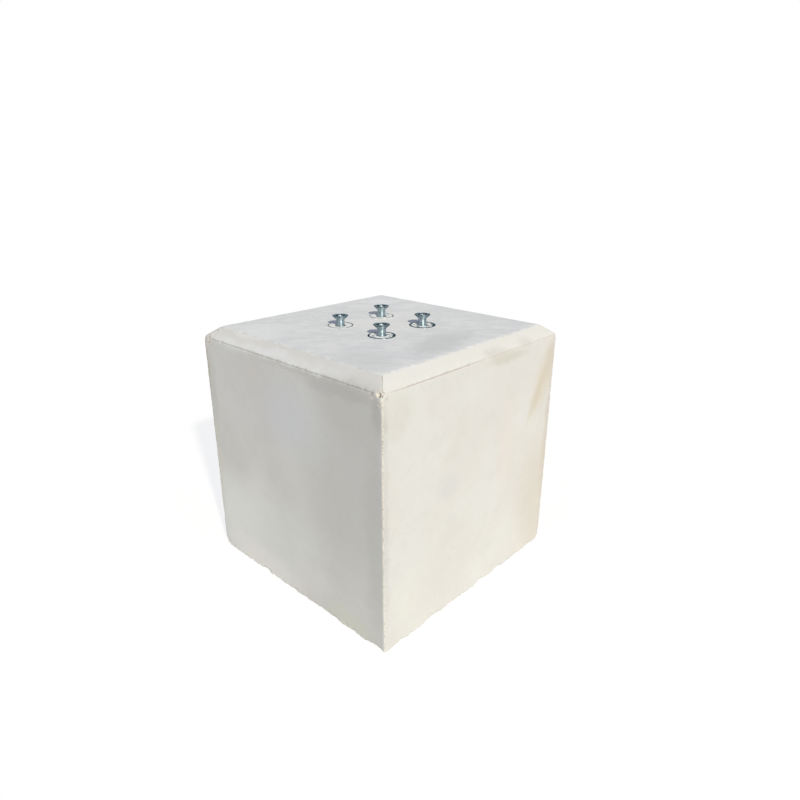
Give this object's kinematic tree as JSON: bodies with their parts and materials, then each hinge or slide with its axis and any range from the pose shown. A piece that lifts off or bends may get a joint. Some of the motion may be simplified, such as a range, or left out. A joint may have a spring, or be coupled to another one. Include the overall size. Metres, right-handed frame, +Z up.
{
  "type": "concrete deck pier block",
  "caption": "Chamfered concrete pier block that carries a deck post or frame, with threaded sockets cast into its top and countersunk hexagon socket screws standing in them.",
  "frame": {"origin": "middle of the block's underside", "axes": "+Z up; X and Y square to the block's sides, with the picture's nearest upright edge at -X -Y"},
  "size_m": [0.5, 0.5, 0.5218],
  "materials": {
    "cast_concrete": "matte",
    "socket_zinc": "satin",
    "screw_zinc": "satin"
  },
  "bodies": {
    "root": {"concrete_block": "cast_concrete", "socket_front": "socket_zinc", "socket_right": "socket_zinc", "socket_left": "socket_zinc", "socket_back": "socket_zinc", "screw_front": "screw_zinc", "screw_right": "screw_zinc", "screw_left": "screw_zinc", "screw_back": "screw_zinc"}
  },
  "joints": []
}
